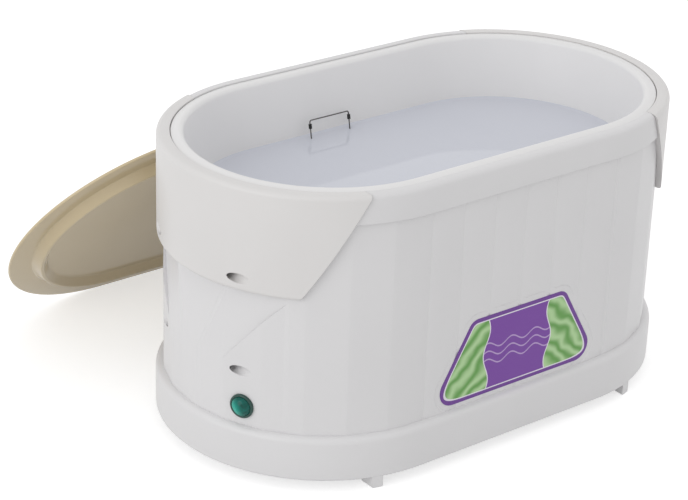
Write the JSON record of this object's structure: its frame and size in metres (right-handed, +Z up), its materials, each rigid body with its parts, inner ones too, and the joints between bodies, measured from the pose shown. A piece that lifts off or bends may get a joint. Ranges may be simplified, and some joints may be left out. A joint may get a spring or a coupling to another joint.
{
  "type": "paraffin bath",
  "caption": "Round-ended paraffin wax bath: panelled housing, deep heated tank, wrap-around hand collars, finger scoops, pilot lamp, lift-out grille and a loose lid leaning behind it.",
  "frame": {"origin": "centre of the bath's footprint, on the plane the feet stand on", "axes": "+X along the bath, away from the end with the pilot lamp; -Y out of the front with the label; +Z up"},
  "size_m": [0.431, 0.3793, 0.22],
  "materials": {
    "housing_plastic": "fine satin moulding",
    "base_plastic": "fine satin moulding",
    "collar_plastic": "smooth satin moulding",
    "tank_enamel": "smooth white enamel",
    "seal_silicone": "soft matt silicone",
    "heater_silicone": "matt silicone heater mat",
    "strip_steel": "plain strip",
    "glass_wool": "felted mineral fibre",
    "control_phenolic": "dull phenolic",
    "cutoff_ceramic": "plain ceramic sleeve",
    "stud_brass": "turned",
    "terminal_nylon": "natural nylon",
    "lead_insulation": "silicone insulation",
    "lamp_lens": "green moulded dome",
    "lamp_bezel": "dark polished ring",
    "inlet_black": "fine matt",
    "pin_nickel": "nickel plated",
    "screw_steel": "blackened zinc",
    "label_print": "printed film",
    "grille_plastic": "white moulding",
    "handle_wire": "drawn stainless wire",
    "ferrule_black": "crimped sleeve",
    "lid_plastic": "thermoformed sheet"
  },
  "bodies": {
    "bath": {"housing_shell": "housing_plastic", "base_pan": "base_plastic", "left_collar": "collar_plastic", "right_collar": "collar_plastic", "tank": "tank_enamel", "rim_seal": "seal_silicone", "heater_band": "heater_silicone", "heater_strap": "strip_steel", "insulation_blanket": "glass_wool", "thermostat": "control_phenolic", "thermostat_bracket": "strip_steel", "thermal_cutoff": "cutoff_ceramic", "earth_stud": "stud_brass", "terminal_block": "terminal_nylon", "wiring": "lead_insulation", "pilot_lens": "lamp_lens", "pilot_body": "lamp_bezel", "pilot_clip": "strip_steel", "power_inlet": "inlet_black", "inlet_pins": "pin_nickel", "collar_screws": "screw_steel", "base_screws": "screw_steel", "front_label": "label_print"},
    "grille": {"grille_tray": "grille_plastic", "grille_handles": "handle_wire", "handle_ferrules": "ferrule_black"},
    "lid": {"lid": "lid_plastic"}
  },
  "joints": [
    {"name": "grille_lift", "type": "slide", "parent": "bath", "child": "grille", "axis": [0, 0, 1], "range_m": [0, 0.15]},
    {"name": "lid_lift", "type": "slide", "parent": "bath", "child": "lid", "axis": [0, 0.7815, 0.6239], "range_m": [0, 0.2]}
  ]
}
